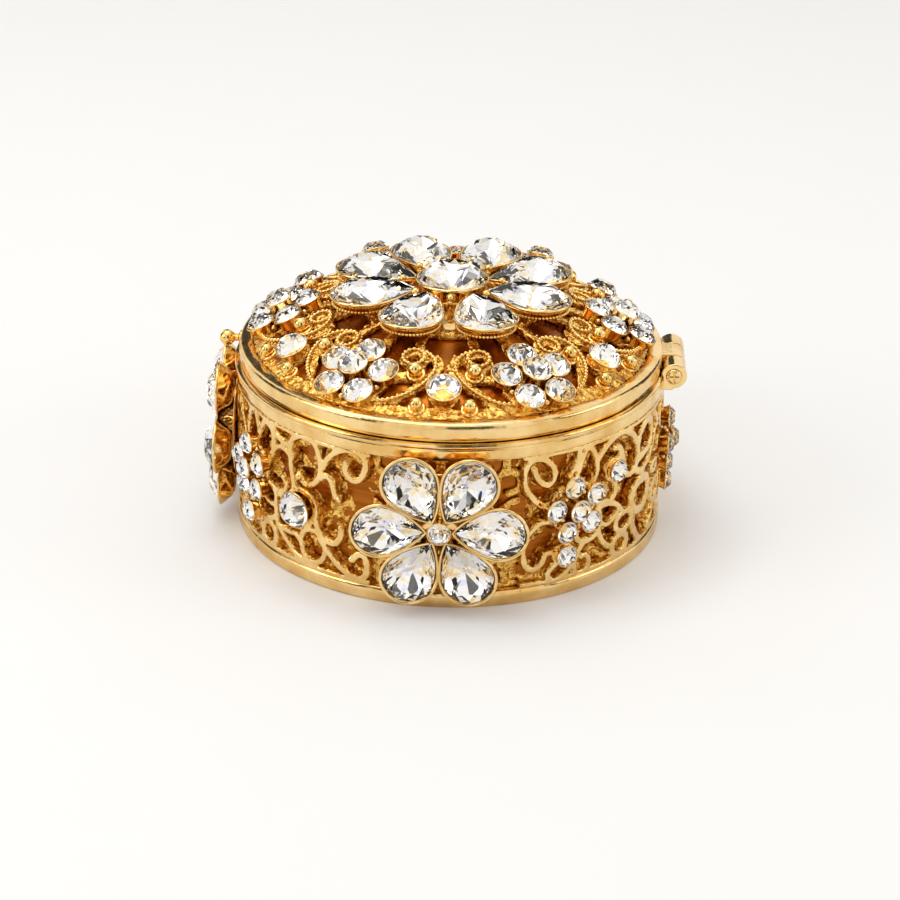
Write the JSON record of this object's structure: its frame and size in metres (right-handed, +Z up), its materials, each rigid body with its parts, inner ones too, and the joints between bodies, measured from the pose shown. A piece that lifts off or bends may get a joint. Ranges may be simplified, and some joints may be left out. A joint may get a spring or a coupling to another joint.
{
  "type": "hinged trinket box",
  "caption": "Round gold-coloured openwork trinket box with a hinged domed lid, set with clear pear and round crystals, for holding coins or rings.",
  "frame": {"origin": "middle of the flat underside, on the surface the box stands on", "axes": "+Z up, +X toward the hinge, -Y toward the front flower; the thumb ball is on -X"},
  "size_m": [0.0709, 0.072, 0.0396],
  "materials": {
    "gold": "polished gold plating, rough as cast in the recesses",
    "amber_liner": "smooth amber lacquered metal with fine brush lines",
    "crystal": "clear cut crystal with a silver foil back"
  },
  "bodies": {
    "base": {"foot_band": "gold", "floor_plate": "amber_liner", "liner_sleeve": "amber_liner", "top_band": "gold", "wall_front": "gold", "wall_right": "gold", "wall_hinge_side": "gold", "wall_back_left": "gold", "wall_back": "gold", "wall_back_right": "gold", "wall_clasp_side": "gold", "wall_left": "gold", "front_flower_setting": "gold", "front_flower_pears": "crystal", "back_flower_setting": "gold", "back_flower_pears": "crystal", "clasp_flower_setting": "gold", "clasp_flower_pears": "crystal", "flower_middle_stones": "crystal", "wall_cluster_settings": "gold", "wall_cluster_stones": "crystal", "wall_small_cups": "gold", "wall_small_stones": "crystal", "wall_large_cups": "gold", "wall_large_stones": "crystal", "hinge_base_knuckles": "gold", "hinge_pin": "gold"},
    "lid": {"lid_band": "gold", "lid_grille": "gold", "lid_liner": "amber_liner", "lid_flower_setting": "gold", "lid_flower_pears": "crystal", "lid_centre_stone": "crystal", "lid_centre_beads": "gold", "lid_cluster_settings": "gold", "lid_cluster_stones": "crystal", "lid_single_cups": "gold", "lid_single_stones": "crystal", "lid_studs": "gold", "lid_rim_studs": "gold", "lid_bead_loops": "gold", "lid_bead_wires": "gold", "hinge_lid_knuckle": "gold", "thumb_ball": "gold"}
  },
  "joints": [
    {"name": "lid_hinge", "type": "hinge", "parent": "base", "child": "lid", "pos_m": [0.033, 0, 0.02555], "axis": [0, 1, 0], "range_deg": [0, 95]}
  ]
}
